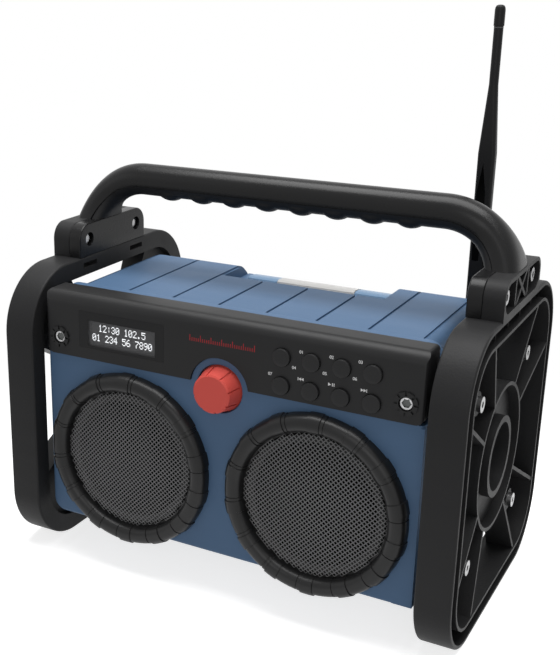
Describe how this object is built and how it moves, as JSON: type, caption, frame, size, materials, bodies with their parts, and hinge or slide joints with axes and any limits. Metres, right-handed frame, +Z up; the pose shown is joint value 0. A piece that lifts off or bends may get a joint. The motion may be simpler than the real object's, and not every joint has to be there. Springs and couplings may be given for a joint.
{
  "type": "jobsite radio",
  "caption": "Rugged worksite radio: a speaker cabinet slung between ribbed end frames, with a bar handle, tuning knob, buttons, lamp and tilting antenna.",
  "frame": {"origin": "the floor, under the middle of the two end frames", "axes": "+X towards the listener's right along the handle, -Y out of the speaker side, +Z up"},
  "size_m": [0.34, 0.2164, 0.4005],
  "materials": {
    "frame_black": "fine moulded texture",
    "handle_black": "satin",
    "grip_rubber": "soft matte",
    "housing_blue": "fine moulded texture",
    "panel_black": "satin",
    "bumper_rubber": "soft matte",
    "grille_metal": "powder coat",
    "screw_steel": "bright",
    "knob_red": "satin",
    "button_black": "soft matte",
    "window_clear": "clear",
    "display_face": "matte",
    "lens_white": "frosted",
    "board_green": "solder mask",
    "part_black": "matte",
    "metal_grey": "plain",
    "magnet_grey": "plated",
    "cone_paper": "felted",
    "heat_aluminium": "extruded",
    "battery_shell": "plain",
    "gasket_rubber": "matte",
    "antenna_black": "satin"
  },
  "bodies": {
    "radio": {"left_end_frame": "frame_black", "left_frame_screws": "screw_steel", "left_handle_clamp": "handle_black", "left_clamp_bolts": "screw_steel", "left_speaker_ring": "bumper_rubber", "left_speaker_grille": "grille_metal", "left_speaker_basket": "metal_grey", "left_speaker_cone": "cone_paper", "left_speaker_magnet": "magnet_grey", "right_end_frame": "frame_black", "right_frame_screws": "screw_steel", "right_handle_clamp": "handle_black", "right_clamp_bolts": "screw_steel", "right_speaker_ring": "bumper_rubber", "right_speaker_grille": "grille_metal", "right_speaker_basket": "metal_grey", "right_speaker_cone": "cone_paper", "right_speaker_magnet": "magnet_grey", "handle_outer_shell": "handle_black", "handle_grip_shell": "grip_rubber", "front_housing": "housing_blue", "cabinet_shell": "housing_blue", "front_gasket": "gasket_rubber", "lamp_bezel": "housing_blue", "lamp_lens": "lens_white", "control_panel": "panel_black", "panel_screws": "screw_steel", "display_window": "window_clear", "display_module": "display_face", "control_board": "board_green", "tact_switches": "part_black", "encoder_body": "part_black", "battery_box": "housing_blue", "battery_pack": "battery_shell", "door_hinge_pins": "metal_grey", "socket_plate": "part_black", "round_sockets": "metal_grey", "antenna_mount": "part_black", "main_board": "board_green", "heat_sink": "heat_aluminium"},
    "knob": {"tuning_knob": "knob_red", "encoder_shaft": "metal_grey"},
    "antenna_base": {"antenna_swivel": "antenna_black", "antenna_pin": "metal_grey"},
    "antenna_arm": {"antenna_mast": "antenna_black"},
    "door": {"battery_door": "panel_black"},
    "flap": {"socket_flap": "gasket_rubber"},
    "key_1": {"button_1": "button_black"},
    "key_2": {"button_2": "button_black"},
    "key_3": {"button_3": "button_black"},
    "key_4": {"button_4": "button_black"},
    "key_5": {"button_5": "button_black"},
    "key_6": {"button_6": "button_black"},
    "key_7": {"button_7": "button_black"},
    "key_8": {"button_8": "button_black"}
  },
  "joints": [
    {"name": "tuning_turn", "type": "hinge", "parent": "radio", "child": "knob", "pos_m": [0, -0.10375, 0.1572], "axis": [0, -1, 0], "continuous": true},
    {"name": "key_1_press", "type": "slide", "parent": "radio", "child": "key_1", "axis": [0, 1, 0], "range_m": [0, 0.001], "stiffness_N_per_m": 600},
    {"name": "key_2_press", "type": "slide", "parent": "radio", "child": "key_2", "axis": [0, 1, 0], "range_m": [0, 0.001], "stiffness_N_per_m": 600},
    {"name": "key_3_press", "type": "slide", "parent": "radio", "child": "key_3", "axis": [0, 1, 0], "range_m": [0, 0.001], "stiffness_N_per_m": 600},
    {"name": "key_4_press", "type": "slide", "parent": "radio", "child": "key_4", "axis": [0, 1, 0], "range_m": [0, 0.001], "stiffness_N_per_m": 600},
    {"name": "key_5_press", "type": "slide", "parent": "radio", "child": "key_5", "axis": [0, 1, 0], "range_m": [0, 0.001], "stiffness_N_per_m": 600},
    {"name": "key_6_press", "type": "slide", "parent": "radio", "child": "key_6", "axis": [0, 1, 0], "range_m": [0, 0.001], "stiffness_N_per_m": 600},
    {"name": "key_7_press", "type": "slide", "parent": "radio", "child": "key_7", "axis": [0, 1, 0], "range_m": [0, 0.001], "stiffness_N_per_m": 600},
    {"name": "key_8_press", "type": "slide", "parent": "radio", "child": "key_8", "axis": [0, 1, 0], "range_m": [0, 0.001], "stiffness_N_per_m": 600},
    {"name": "antenna_turn", "type": "hinge", "parent": "radio", "child": "antenna_base", "pos_m": [0.1178, 0.08175, 0.152], "axis": [0, 0, -1], "range_deg": [0, 90]},
    {"name": "antenna_tilt", "type": "hinge", "parent": "antenna_base", "child": "antenna_arm", "pos_m": [0.1178, 0.08175, 0.168], "axis": [0, -1, 0], "range_deg": [0, 90]},
    {"name": "door_open", "type": "hinge", "parent": "radio", "child": "door", "pos_m": [0, 0.08375, 0.0395], "axis": [-1, 0, 0], "range_deg": [0, 90]},
    {"name": "flap_open", "type": "hinge", "parent": "radio", "child": "flap", "pos_m": [-0.1005, 0.05855, 0.0678], "axis": [-1, 0, 0], "range_deg": [0, 90]}
  ]
}
